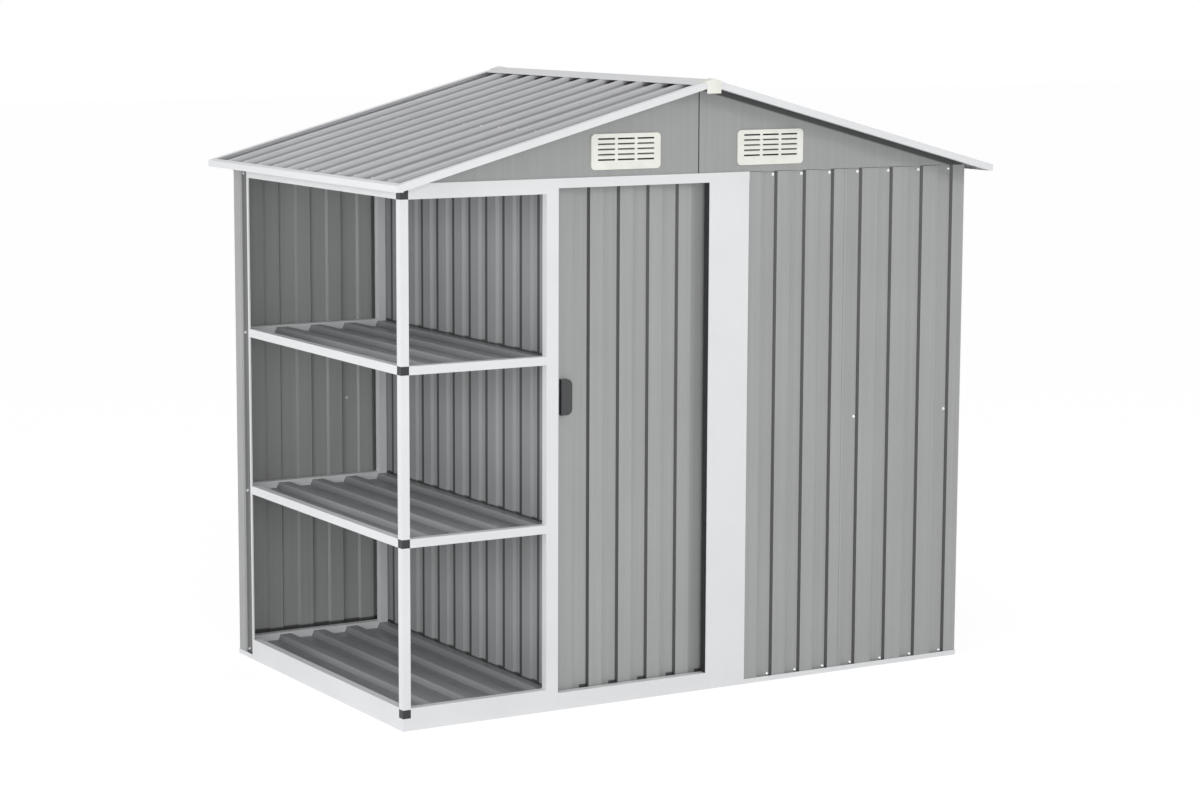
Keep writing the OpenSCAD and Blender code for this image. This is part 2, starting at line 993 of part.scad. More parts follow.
// Two rollers on axles that stand out from the hanger
module door_rollers() {
    inset = 70;
    color(black)
        for (x = [door_x + inset, door_x + door_w - inset])
            translate([left + x, front + hanger_in, roller_z])
                rotate([-90, 0, 0]) {
                    cylinder(r = axle_r, h = roller_in - hanger_in + roller_w);
                    translate([0, 0, roller_in - hanger_in])
                        cylinder(r = roller_r, h = roller_w);
                }
}

// Outline of the handle: straight on the left, with rounded corners on the right
module grip_outline(w, h, r) {
    translate([0, -h / 2])
        square([w - r, h]);
    translate([0, r - h / 2])
        square([w, h - 2 * r]);
    for (y = [r - h / 2, h / 2 - r])
        translate([w - r, y])
            circle(r);
}

// A cup pull beside the door's edge, hollow and open to the left
module door_handle() {
    edge = 14;
    corner = 18;
    wall = 2.5;
    color(black)
        translate([left + door_x + edge, front + door_in, handle_z])
            rotate([90, 0, 0])
                difference() {
                    linear_extrude(handle_proud)
                        grip_outline(handle_w, handle_h, corner);
                    translate([-wall, 0, wall])
                        linear_extrude(handle_proud - 2 * wall)
                            grip_outline(handle_w, handle_h - 2 * wall, corner - wall);
                }
}

rack_front_apron();
rack_left_apron();
door_threshold();
front_base_rail();
right_base_rail();
rear_base_rail();
divider_base_rail();
rack_front_post();
rack_rear_post();
rack_divider_post();
rack_connectors();
rack_floor_rails();
lower_shelf_rails();
upper_shelf_rails();
rack_top_rails();
rack_floor_panel();
lower_shelf_panel();
upper_shelf_panel();
divider_wall();
rear_wall();
right_wall();
front_wall();
rear_left_corner();
right_corner_posts();
door_jamb();
jamb_panel();
front_beam();
front_top_rail();
rear_beam();
divider_top_rail();
eave_rails();
front_gable();
rear_gable();
front_vents();
rear_vents();
left_roof_sheets();
right_roof_sheets();
eave_trims();
verge_trims();
ridge_cap();
ridge_end_caps();
ridge_beam();
roof_purlins();
door_panel();
door_rails();
door_rollers();
door_handle();
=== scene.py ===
"""Finishes, fasteners and studio stage of a metal garden shed with a side rack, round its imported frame."""

import json
import math

import bpy
import numpy as np
from mathutils import Matrix, Vector


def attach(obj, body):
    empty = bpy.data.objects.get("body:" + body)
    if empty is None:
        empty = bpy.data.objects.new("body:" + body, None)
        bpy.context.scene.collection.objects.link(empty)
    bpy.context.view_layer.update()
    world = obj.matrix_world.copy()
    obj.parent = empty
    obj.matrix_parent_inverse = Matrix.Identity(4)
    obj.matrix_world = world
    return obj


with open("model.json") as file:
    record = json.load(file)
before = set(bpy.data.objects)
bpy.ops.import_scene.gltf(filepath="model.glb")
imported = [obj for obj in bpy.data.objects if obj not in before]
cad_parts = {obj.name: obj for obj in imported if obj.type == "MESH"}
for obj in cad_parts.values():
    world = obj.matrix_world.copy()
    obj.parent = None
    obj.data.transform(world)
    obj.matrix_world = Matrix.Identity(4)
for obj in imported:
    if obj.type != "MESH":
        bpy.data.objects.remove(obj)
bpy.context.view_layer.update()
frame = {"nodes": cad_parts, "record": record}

bl_info = {
    "name": "Metal shed dresser",
    "version": (1, 0, 0),
    "blender": (4, 5, 0),
    "location": "View3D > Sidebar > Shed",
    "description": "Paints a packed metal shed, fits its screws and sets a studio stage",
    "category": "Object",
}

# Slots of the record and the finish that each one gets; a few pieces have a finish of their own
# The sheet finishes carry painted light and shade on their ribs' flanks
SLOT_FINISH = {
    "grey_sheet": "grey_paint",
    "roof_sheet": "roof_paint",
    "shelf_sheet": "shelf_paint",
    "white_frame": "white_paint",
    "cream_plastic": "cream_moulding",
    "black_plastic": "black_moulding",
}
# Pieces with a finish of their own; all but the handle's carry their own painted shade: flank direction, mask
# or darker grey
NODE_FINISH = {
    "right_wall": "side_paint",
    "rear_wall": "rear_paint",
    "divider_wall": "divider_paint",
    "rear_left_corner": "corner_paint",
    "front_gable": "gable_paint",
    "rear_gable": "gable_paint",
    "door_panel": "door_paint",
    "rack_floor_panel": "floor_paint",
    "front_vents": "vent_moulding",
    "rear_vents": "vent_moulding",
    "door_handle": "handle_moulding",
}

# Sizes repeated from the part's source, in metres
BASE_W, BASE_D, WALL_H = 1.954, 1.140, 1.550
LEFT, FRONT, RIGHT, REAR = -BASE_W / 2, -BASE_D / 2, BASE_W / 2, BASE_D / 2
WALL_IN, GROOVE_D, LAP_STEP = 0.002, 0.009, 0.0012
ROOF_PITCH = math.radians(15)
EAVE_OVER, VERGE_Y = 0.048, 0.647
DOORWAY_END, JAMB_FOLD, FRONT_WALL_X = 1.015, 0.025, 1.1542
THRESHOLD_H, BEAM_H, RIDGE_Z = 0.051, 0.028, WALL_H + BASE_W / 2 * math.tan(ROOF_PITCH)
DIVIDER_X, DIVIDER_FIRST, DIVIDER_PITCH = 0.4921, REAR - 0.0829, 0.10443
GROOVE_FLOOR, CORNER_LAND, GROOVE_MOUTH = 0.045, 0.046, 0.056
DOOR_IN, DOOR_FIRST, DOOR_PITCH, RIDGE_W = 0.031, LEFT + 0.599, 0.10025, 0.058
SHELF_LAST, SHELF_PITCH, SHELF_CREST = LEFT + 0.4799, 0.116, 0.036
VENT_X, VENT_Z, VENT_BEZEL, VENT_SLOTS_W = 0.250, 1.6215, 0.005, 0.189
SHELF_TOPS, FLOOR_RAIL_TOP = (0.0605, 0.5470, 1.0370), 0.066
SHEET_T, ROOF_RIBS, ROOF_EDGE, ROOF_FOOT, VERGE_CLEAR = 0.001, 11, 0.102, 0.046, 0.0016
RIB_LINES = np.linspace(ROOF_EDGE - VERGE_Y + VERGE_CLEAR, VERGE_Y - VERGE_CLEAR - ROOF_EDGE, ROOF_RIBS)
FIRST_ROOF_LAP, LAST_ROOF_LAP = RIB_LINES[2], RIB_LINES[6]

# Grooves of the outer walls as distances along each wall, and the numbers of those that lie at a lap
FRONT_GROOVES = np.concatenate([np.linspace(0.075, 0.383, 4), np.linspace(0.383, 0.7258, 4)[1:]])
RIGHT_GROOVES = np.linspace(0.064, 1.0672, 10)
REAR_GROOVES = np.linspace(0.123, 1.827, 17)
FRONT_LAPS, RIGHT_LAPS, REAR_LAPS = [3], [3, 6], [3, 6, 10, 13]
RIGHT_WALL_START = 0.0044

# Screws of the roof, the rear left corner and the rear wall, in metres
EAVE_SCREWS, PURLIN_ASIDE = 0.060, 0.011
CORNER_SCREW_Z, CORNER_SCREW_IN, NUT_X = (0.024, 0.529, 1.025, 1.517), 0.058, 0.3805

# Roughness of the finishes and strength of the grain of the mouldings
WALL_ROUGH, SHELF_ROUGH, WHITE_ROUGH, ZINC_ROUGH = 0.40, 0.36, 0.38, 0.25
CREAM_ROUGH, CREAM_GRAIN, BLACK_ROUGH, BLACK_GRAIN = 0.50, 0.08, 0.46, 0.16

# Painted light and shade, as shares of the colour that are not settings: on the away flank, on the other
# flank and in the painted shade mask, which inside the vents' slots keeps only SLOT_DARK of the colour
CORNER_LIT, CORNER_DARK, SLOT_DARK = 1.0, 0.42, 0.06
ROOF_SHARES, SHELF_SHARES, FLOOR_SHARES = (0.75, 1.0, 0.10), (0.65, 1.0, 0.78), (0.65, 1.0, 0.84)

# Axes and directions of the frame, and the range that most of a noise lies in
X, Y, Z = range(3)
TO_LEFT, TO_RIGHT, TO_FRONT, TO_REAR, UP = (-1, 0, 0), (1, 0, 0), (0, -1, 0), (0, 1, 0), (0, 0, 1)
NOISE_LOW, NOISE_HIGH = 0.3, 0.7

# Studio: name, place, size and power setting of each lamp, the point they look at, floor and camera
LAMPS = (
    ("key_lamp", (3.0, -4.9, 3.6), (1.6, 1.2), "key"),
    ("front_lamp", (-2.2, -5.6, 1.7), (3.5, 2.0), "front"),
    ("side_lamp", (-5.2, -1.2, 1.8), (3.5, 2.2), "side"),
)
LAMP_TARGET = Vector((0.0, 0.0, 0.9))
FLOOR_HALF, FLOOR_ROUGH, FLOOR_SHEEN, FLOOR_GLOW, GLOW_SHARE = 40.0, 0.9, 0.1, 1.17, 0.7
CAMERA_PLACE = Vector((-3.6787 + LEFT, -7.2711 + FRONT, 2.1133))
CAMERA_YAW, CAMERA_TILT, CAMERA_ROLL = math.radians(30.731), math.radians(8.135), math.radians(0.224)
SENSOR_W, CLIP_END = 36.0, 200.0


def colour(name, words, value):
    """A colour setting in the scene's own linear values."""
    return bpy.props.FloatVectorProperty(
        name=name, description=words, default=value, subtype="COLOR", size=3, min=0, max=1
    )


def length(name, words, value):
    """A length setting in metres."""
    return bpy.props.FloatProperty(
        name=name, description=words, default=value, unit="LENGTH", min=0, precision=4
    )


def amount(name, words, value):
    """A plain number setting."""
    return bpy.props.FloatProperty(name=name, description=words, default=value, min=0, precision=3)


class ShedFinishes(bpy.types.PropertyGroup):
    """Colours of the paints and mouldings."""

    grey: colour("Wall grey", "Paint on the ribbed walls and door", (0.345, 0.352, 0.349))
    # Painted shade: the gable grey is the wall grey made darker
    gable: colour("Gable grey", "Paint on the flat gables", (0.319, 0.326, 0.323))
    # Painted shade: the divider grey is the wall grey made darker and bluer for the wall inside the rack
    divider: colour("Divider grey", "Paint on the wall between rack and room", (0.297, 0.303, 0.308))
    # Painted light: the roof grey is the wall grey made lighter and bluer for the stronger light on top of
    # the roof
    roof: colour("Roof grey", "Paint on the roof sheets", (0.485, 0.49, 0.511))
    # Painted shade: the shelf grey is the wall grey made a little darker and bluer for the shelves inside the
    # rack
    shelf: colour("Shelf grey", "Paint on the rack's two shelves", (0.326, 0.332, 0.342))
    # Painted shade: the rack floor grey is the shelf grey made darker for the floor panel low in the rack
    rack_floor: colour("Rack floor grey", "Paint on the rack's floor panel", (0.278, 0.283, 0.292))
    white: colour("Frame white", "Paint on rails, posts and trims", (0.735, 0.743, 0.757))
    cream: colour("Vent cream", "Moulded vents and ridge caps", (0.80, 0.81, 0.745))
    black: colour("Connector black", "Moulded connectors, rollers and seals", (0.022, 0.023, 0.025))
    handle: colour("Handle black", "Moulded door handle", (0.046, 0.047, 0.050))
    zinc: colour("Screw zinc", "Plating of the screws", (0.88, 0.88, 0.89))
    # Painted shade on the rib flank that looks away from the light, painted light on the other flank, painted
    # shade in the masks
    flank: amount("Groove shade", "Share of the colour on the flank that looks away from the light", 0.20)
    lit: amount("Flank light", "Share of the colour on the flank that looks towards the light", 1.15)
    painted_shade: amount("Hollow shade", "Share of the colour left in the shaded part of a groove or a gap", 0.20)


class ShedScrews(bpy.types.PropertyGroup):
    """Sizes of the hexagon washer-head screws."""

    head_r: length("Head radius", "Half the width across the head's corners", 0.0034)
    head_h: length("Head height", "Height of the head over the sheet", 0.0036)
    flange_r: length("Flange radius", "Radius of the washer flange", 0.0049)
    flange_h: length("Flange height", "Thickness of the washer flange", 0.0011)
    row_in: length("Row inset", "Distance of the wall screws from the top of the wall frame", 0.012)
    foot_z: length("Foot row height", "Height of the lower row of wall screws", 0.019)
    stitch_z: length("Stitch height", "Height of the screws that hold the laps together", 0.789)
    aside: length("Aside", "Distance of the wall screws from the middle of their groove", 0.0165)


class ShedStage(bpy.types.PropertyGroup):
    """Light levels, floor and lens of the studio."""

    sky: amount("Sky level", "Strength of the even studio light", 0.60)
    key: amount("Key power", "Power of the small lamp high at the right in watts", 50.0)
    front: amount("Front fill", "Power of the low lamp in front in watts", 70.0)
    side: amount("Side fill", "Power of the low lamp at the left in watts", 85.0)
    floor: colour("Floor", "Colour of the plain floor", (0.92, 0.92, 0.92))
    lens: amount("Lens", "Focal length in millimetres on a 36 mm sensor", 88.5)


class Nodes:
    """A short way to lay out one material's node tree."""

    def __init__(self, name):
        self.material = bpy.data.materials.new(name)
        self.material.use_nodes = True
        self.tree = self.material.node_tree
        self.shader = self.tree.nodes["Principled BSDF"]
        self.coords = self.tree.nodes.new("ShaderNodeTexCoord")

    def add(self, kind, **sockets):
        """Adds a node; values are set and outputs are linked by socket name."""
        node = self.tree.nodes.new("ShaderNode" + kind)
        self.feed(node, sockets)
        return node

    def feed(self, node, sockets):
        """Sets or links the named inputs of a node; numbered sockets are written as s0, s1."""
        for key, value in sockets.items():
            key = int(key[1:]) if key[0] == "s" and key[1:].isdigit() else key.replace("_", " ")
            socket = node.inputs[key]
            if isinstance(value, bpy.types.NodeSocket):
                self.tree.links.new(value, socket)
            else:
                socket.default_value = value

    def math(self, operation, a, b=0.0, c=0.0):
        """One arithmetic step."""
        node = self.add("Math", s0=a, s1=b, s2=c)
        node.operation = operation
        return node.outputs[0]

    def noise(self, scale, detail, stretch=(1, 1, 1)):
        """Noise on object coordinates, stretched by a mapping."""
        place = self.add("Mapping", Vector=self.coords.outputs["Object"], Scale=stretch)
        return self.add("TexNoise", Vector=place.outputs[0], Scale=scale, Detail=detail).outputs["Fac"]

    def vary(self, scale, detail, low, high, stretch=(1, 1, 1)):
        """Noise on object coordinates, brought to a range."""
        return self.ramp(self.noise(scale, detail, stretch), NOISE_LOW, NOISE_HIGH, low, high)

    def ramp(self, value, low, high, out_low, out_high):
        """Maps a value from one range to another, held at both ends."""
        node = self.add(
            "MapRange", Value=value, From_Min=low, From_Max=high, To_Min=out_low, To_Max=out_high
        )
        return node.outputs[0]

    def scale_colour(self, colour_in, factor):
        """A colour times a number."""
        node = self.tree.nodes.new("ShaderNodeVectorMath")
        node.operation = "SCALE"
        self.feed(node, {"s0": colour_in, "Scale": factor})
        return node.outputs[0]

    def bump(self, height, strength, distance):
        """A bump normal from a height."""
        return self.add("Bump", Height=height, Strength=strength, Distance=distance).outputs[0]

    def steepness(self):
        """How far a face leans from all three axes: the flanks of ribs and grooves give 1, flats 0."""
        flat_cosine, flank_cosine = 0.955, 0.885
        absolute = self.add("VectorMath", s0=self.coords.outputs["Normal"])
        absolute.operation = "ABSOLUTE"
        parts = self.add("SeparateXYZ", Vector=absolute.outputs[0])
        widest = self.math("MAXIMUM", parts.outputs[0], parts.outputs[1])
        widest = self.math("MAXIMUM", widest, parts.outputs[2])
        return self.ramp(widest, flat_cosine, flank_cosine, 0.0, 1.0)

    def place(self, axis):
        """One object coordinate."""
        return self.add("SeparateXYZ", Vector=self.coords.outputs["Object"]).outputs[axis]

    def within(self, value, low, high, soft):
        """1 between two limits and 0 outside them, with edges of the given softness."""
        above = self.ramp(value, low - soft, low, 0.0, 1.0)
        below = self.ramp(value, high, high + soft, 1.0, 0.0)
        return self.math("MULTIPLY", above, below)

    def from_line(self, axis, first, pitch):
        """Signed distance along an axis from the nearest of evenly spaced lines."""
        shifted = self.math("SUBTRACT", self.place(axis), first)
        return self.math("WRAP", shifted, pitch / 2, -pitch / 2)

    def mask(self, *parts):
        """The product of several masks."""
        total = parts[0]
        for part in parts[1:]:
            total = self.math("MULTIPLY", total, part)
        return total

    def facing(self, direction):
        """1 on faces that look along a direction, -1 on those that look against it, 0 square to it."""
        full = 0.5
        along = self.add("VectorMath", s0=self.coords.outputs["Normal"], s1=direction)
        along.operation = "DOT_PRODUCT"
        return self.ramp(along.outputs["Value"], -full, full, -1.0, 1.0)

    def towards(self, direction):
        """1 on faces that look along a direction and 0 on those square to it or against it."""
        return self.math("MAXIMUM", self.facing(direction), 0.0)


def divider_painted_shade(n):
    """Painted shade on the front half of the divider's groove floors, and a painted shade line along the
    shelves' edges.
    """
    reach, soft, line_foot, line_top = 0.001, 0.003, 0.012, 0.003
    face = LEFT + DIVIDER_X
    floor = n.ramp(n.place(X), face + GROOVE_D / 2, face + 0.7 * GROOVE_D, 0.0, 1.0)
    dark = n.within(n.from_line(Y, DIVIDER_FIRST, DIVIDER_PITCH), -GROOVE_FLOOR / 2, reach, soft)
    dark = n.math("MULTIPLY", floor, dark)
    for top in SHELF_TOPS:
        dark = n.math("MAXIMUM", dark, n.within(n.place(Z), top - line_foot, top + line_top, soft))
    return n.mask(dark, n.towards(TO_LEFT))


def shelf_painted_shade(n):
    """Painted shade on a rack panel but its ribs' left top edges, a painted highlight fading to the right,
    and shade by the divider.
    """
    line = n.from_line(X, SHELF_LAST, SHELF_PITCH)
    edge, rise, fade, wall_far, wall_near = -SHELF_CREST / 2, 0.005, 0.014, 0.010, 0.004
    lit = n.mask(n.ramp(line, edge - rise, edge, 0.0, 1.0), n.ramp(line, edge, edge + fade, 1.0, 0.0))
    wall = n.ramp(n.place(X), LEFT + DIVIDER_X - wall_far, LEFT + DIVIDER_X - wall_near, 0.0, 1.0)
    return n.math("MAXIMUM", n.math("SUBTRACT", 1.0, lit), wall)


def roof_painted_shade(n):
    """Painted shade: half-dark strips of the roof's valleys along the ribs' feet, and the dark gaps under the
    ridge cap.
    """
    strip, soft, strip_share = 0.020, 0.004, 0.45
    line = n.from_line(Y, float(RIB_LINES[0]), float(RIB_LINES[1] - RIB_LINES[0]))
    foot = -ROOF_FOOT / 2
    dark = n.math("MULTIPLY", n.within(line, foot - strip, foot, soft), strip_share)
    valley = n.ramp(n.math("ABSOLUTE", line), -foot - soft, -foot, 0.0, 1.0)
    capped = n.ramp(n.math("ABSOLUTE", n.place(X)), RIDGE_W, RIDGE_W + 2 * soft, 1.0, 0.0)
    dark = n.math("MAXIMUM", dark, n.math("MULTIPLY", valley, capped))
    return n.mask(dark, n.towards(UP))


def gable_painted_shadow(n):
    """Painted shadow along the edge of a gable right under its right-hand verge."""
    depth, soft = 0.015, 0.005
    run = n.math("SUBTRACT", BASE_W / 2, n.math("ABSOLUTE", n.place(X)))
    below = n.math("SUBTRACT", n.math("MULTIPLY_ADD", run, math.tan(ROOF_PITCH), WALL_H), n.place(Z))
    return n.mask(n.ramp(below, depth, depth + soft, 1.0, 0.0), n.ramp(n.place(X), 0.0, soft, 0.0, 1.0))


def door_painted_shade(n):
    """Painted shade on the feet of the door's groove floors, where they stand behind the threshold."""
    floor_y = FRONT + DOOR_IN + GROOVE_D / 2
    soft, full_z, end_z = 0.002, THRESHOLD_H + 0.005, THRESHOLD_H + 0.008
    return n.mask(
        n.ramp(n.from_line(X, DOOR_FIRST, DOOR_PITCH), -soft, soft, 0.0, 1.0),
        n.ramp(n.place(Z), full_z, end_z, 1.0, 0.0),
        n.ramp(n.place(Y), floor_y, floor_y + soft, 0.0, 1.0),
        n.towards(TO_FRONT),
    )


def rear_painted_shade(n):
    """Painted shade on the inside of the rear wall behind the rack's floor rail."""
    full_z, end_z = FLOOR_RAIL_TOP + 0.002, FLOOR_RAIL_TOP + 0.007
    return n.mask(n.ramp(n.place(Z), full_z, end_z, 1.0, 0.0), n.towards(TO_FRONT))


def corner_painted_shade(n):
    """Painted shade on the groove floor of the folded rear left corner."""
    soft, face, start = 0.004, LEFT + WALL_IN, REAR - CORNER_LAND - GROOVE_MOUTH
    return n.mask(
        n.within(n.place(Y), start, REAR - CORNER_LAND, soft),
        n.ramp(n.place(X), face + GROOVE_D / 2, face + 0.7 * GROOVE_D, 0.0, 1.0),
    )


def vent_painted_shade(n):
    """Painted shade inside the vents' slots, darkest in the top and bottom rows."""
    skin, edge, middle_share = 0.0012, 0.001, 0.6
    all_rows, middle_rows = (-0.030, 0.046), (-0.014, 0.028)
    aside = n.math("SUBTRACT", n.math("ABSOLUTE", n.place(X)), VENT_X)
    lift = n.math("SUBTRACT", n.place(Z), VENT_Z)
    face = REAR - WALL_IN + VENT_BEZEL - skin
    deep = n.ramp(n.math("ABSOLUTE", n.place(Y)), face - edge, face, 1.0, 0.0)
    inside = n.within(aside, -VENT_SLOTS_W / 2 - edge, VENT_SLOTS_W / 2 + edge, edge)
    rows = n.within(lift, *all_rows, edge)
    middle = n.within(lift, *middle_rows, edge)
    return n.mask(deep, inside, rows, n.ramp(middle, 0.0, 1.0, 1.0, middle_share))


def sheet_paint_light_and_shade(name, tint, away, shares, roughness, roll=Z, painted_shade=None):
    """Baked paint on rolled sheet: soft clouding, fine streaks along the roll, a fine orange peel and painted
    light and shade.

    The shares are those of the colour on three places: painted shade on the flank of a rib that looks along
    the away direction, painted light on the other flank where its share is above one, and painted shade in a
    mask laid over the sheet.
    """
    n = Nodes(name)
    away_share, lit_share, painted_shade_share = shares
    along_roll, low, high = 0.012, 0.965, 1.035
    stretch = [1.0, 1.0, 1.0]
    stretch[roll] = along_roll
    shade = n.mask(n.vary(3.0, 3.0, low, high), n.vary(110.0, 2.0, low, high, stretch))
    # Painted shade from the mask, which leaves only its share of the colour
    if painted_shade:
        shade = n.math("MULTIPLY", shade, n.ramp(painted_shade(n), 0.0, 1.0, 1.0, painted_shade_share))
    # Painted shade on the flank that looks along the away direction and painted light on the other flank
    side = n.facing(away)
    share = n.math(
        "MULTIPLY", n.ramp(side, 0.0, 1.0, 1.0, away_share), n.ramp(side, 0.0, -1.0, 1.0, lit_share)
    )
    steep = n.steepness()
    flanks = n.math("ADD", n.math("MULTIPLY", steep, share), n.math("SUBTRACT", 1.0, steep))
    factor = n.math("MULTIPLY", shade, flanks)
    n.feed(n.shader, {
        "Base Color": n.scale_colour((*tint,), factor),
        "Roughness": n.vary(9.0, 4.0, roughness - 0.05, roughness + 0.05),
        "Normal": n.bump(n.noise(700.0, 2.0), 0.06, 0.0004),
    })
    return n.material


def frame_paint(name, tint, roughness):
    """White powder coat on rails and trims: a trace of clouding and a fine orange peel."""
    n = Nodes(name)
    shade = n.vary(5.0, 3.0, 0.98, 1.02)
    n.feed(n.shader, {
        "Base Color": n.scale_colour((*tint,), shade),
        "Roughness": n.vary(14.0, 4.0, roughness - 0.04, roughness + 0.06),
        "Normal": n.bump(n.noise(900.0, 2.0), 0.05, 0.0003),
    })
    return n.material


def zinc(name, tint, roughness):
    """Bright zinc on screws: metal with faint spangles."""
    n = Nodes(name)
    n.feed(n.shader, {
        "Base Color": n.scale_colour((*tint,), n.vary(240.0, 3.0, 0.94, 1.06)),
        "Metallic": 1.0,
        "Roughness": n.vary(400.0, 2.0, roughness - 0.05, roughness + 0.05),
    })
    return n.material


def moulding(name, tint, roughness, grain, painted_shade=None):
    """Moulded plastic: even colour with a faint flow, a fine spark-eroded grain and painted shade from a
    mask, if any.
    """
    n = Nodes(name)
    shade = n.vary(18.0, 3.0, 0.95, 1.05)
    # Painted shade from the mask, down to SLOT_DARK of the colour
    if painted_shade:
        shade = n.math("MULTIPLY", shade, n.ramp(painted_shade(n), 0.0, 1.0, 1.0, SLOT_DARK))
    n.feed(n.shader, {
        "Base Color": n.scale_colour((*tint,), shade),
        "Roughness": n.vary(60.0, 3.0, roughness - 0.06, roughness + 0.06),
        "Normal": n.bump(n.noise(1600.0, 2.0), grain, 0.0004),
    })
    return n.material


def cross_axes(normals):
    """Two unit axes square to each normal."""
    upright = 0.9
    helper = np.where(np.abs(normals[:, 2:3]) > upright, [[1.0, 0.0, 0.0]], [[0.0, 0.0, 1.0]])
    first = np.cross(helper, normals)
    first /= np.linalg.norm(first, axis=1, keepdims=True)
    return first, np.cross(normals, first)


def screw_set(name, seats, normals, body, sizes, finish="screw_zinc"):
    """One mesh of washer-head screws.

    Each screw is a profile of radius and height carried round its axis. On the head the radius is that of a
    hexagon, the inner radius divided by the cosine of the angle from the nearest flat; the flange is round.
    """
    seats, normals = np.asarray(seats, float), np.asarray(normals, float)
    turn = 18
    angle = np.arange(turn) * (2 * math.pi / turn)
    hexagon = math.cos(math.pi / 6) / np.cos(angle % (math.pi / 3) - math.pi / 6)
    head, flange, top, rim = sizes.head_r, sizes.flange_r, sizes.head_h, sizes.flange_h
    radius = np.array([0.62 * head, 0.92 * head, head, head, 0.93 * flange, flange, flange])
    height = np.array([top, 0.97 * top, 0.86 * top, 1.2 * rim, rim, 0.75 * rim, 0.0])
    six = np.array([1, 1, 1, 1, 0, 0, 0], float)
    ring = radius[:, None] * (1 + six[:, None] * (hexagon[None, :] - 1))
    first, second = cross_axes(normals)
    around = (
        ring[None, :, :, None] * np.cos(angle)[None, None, :, None] * first[:, None, None, :]
        + ring[None, :, :, None] * np.sin(angle)[None, None, :, None] * second[:, None, None, :]
    )
    points = seats[:, None, None, :] + around + height[None, :, None, None] * normals[:, None, None, :]
    count, rings = len(seats), len(radius)
    flat = points.reshape(-1, 3)
    base = (np.arange(count) * rings * turn)[:, None, None]
    row = (np.arange(rings - 1) * turn)[None, :, None]
    a = base + row + np.arange(turn)[None, None, :]
    b = base + row + ((np.arange(turn) + 1) % turn)[None, None, :]
    quads = np.stack([a, a + turn, b + turn, b], -1).reshape(-1, 4)
    tops = (np.arange(count) * rings * turn)[:, None] + np.arange(turn)[None, :]
    feet = tops[:, ::-1] + (rings - 1) * turn
    mesh = bpy.data.meshes.new(name)
    mesh.from_pydata(flat.tolist(), [], quads.tolist() + tops.tolist() + feet.tolist())
    mesh.update()
    piece = bpy.data.objects.new(name, mesh)
    bpy.context.scene.collection.objects.link(piece)
    mesh.materials.append(bpy.data.materials[finish])
    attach(piece, body)


def bar(name, outline, foot, top, slot):
    """A strip of one section from its foot to its top, closed at both ends.

    The section is a superellipse of the given middle, half width and half depth, run up a straight path.
    """
    (x, y), (half_w, half_d) = outline
    turn, rows = 20, 2
    angle = np.arange(turn) * (2 * math.pi / turn)
    round_off = 0.5
    px = x + half_w * np.sign(np.cos(angle)) * np.abs(np.cos(angle)) ** round_off
    py = y + half_d * np.sign(np.sin(angle)) * np.abs(np.sin(angle)) ** round_off
    height = np.linspace(foot, top, rows)
    points = np.stack(np.broadcast_arrays(px[None, :], py[None, :], height[:, None]), -1).reshape(-1, 3)
    a = np.arange(turn)
    b = (a + 1) % turn
    sides = np.stack([a, b, b + turn, a + turn], -1)
    mesh = bpy.data.meshes.new(name)
    mesh.from_pydata(points.tolist(), [], sides.tolist() + [a[::-1].tolist(), (a + turn).tolist()])
    mesh.update()
    piece = bpy.data.objects.new(name, mesh)
    bpy.context.scene.collection.objects.link(piece)
    mesh.materials.append(bpy.data.materials[SLOT_FINISH[slot]])
    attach(piece, "shed")


def wall_seats(origin, along, inward, centres, laps, heights):
    """Seats on the groove floors of a lapped wall.

    A groove lies at its distance along the wall from the origin, and its floor at the groove's depth inward;
    every second sheet lies a lap step further out, and the outer sheet counts at a lap.
    """
    centres = np.asarray(centres, float)
    index = np.arange(len(centres))
    laps = np.asarray(laps)
    sheet_after = np.sum(index[:, None] >= laps[None, :], axis=1)
    sheet_before = np.sum(index[:, None] > laps[None, :], axis=1)
    outer = (sheet_after % 2 == 1) | (sheet_before % 2 == 1)
    depth = GROOVE_D + np.where(outer, 0.0, LAP_STEP)
    line = np.asarray(origin) + centres[:, None] * np.asarray(along) + depth[:, None] * np.asarray(inward)
    seats = [line + [0, 0, z] for z in heights]
    return np.concatenate(seats), line


class ShedOperator(bpy.types.Operator):
    """Base of the shed's operators."""

    bl_options = {"REGISTER", "UNDO"}


